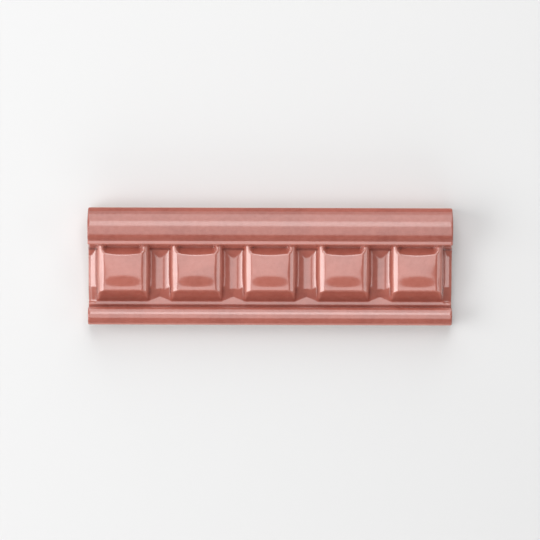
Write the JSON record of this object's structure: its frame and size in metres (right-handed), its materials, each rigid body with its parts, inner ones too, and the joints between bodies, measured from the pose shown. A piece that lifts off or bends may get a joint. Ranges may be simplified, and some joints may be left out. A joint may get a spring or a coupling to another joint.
{
  "type": "dentil moulding tile",
  "caption": "Glazed ceramic border tile with a dentil course between a bold roll along the top and a bead along the bottom.",
  "frame": {"origin": "centre of the outline, on the bedding face at the back", "axes": "+X along the tile, +Y across it from the bead to the roll, +Z out of the glazed face"},
  "size_m": [0.152, 0.049, 0.018],
  "materials": {
    "glaze": "glossy coral pink glaze over a pale pressed body, bare on the back"
  },
  "bodies": {
    "root": {"dentil_tile": "glaze"}
  },
  "joints": []
}
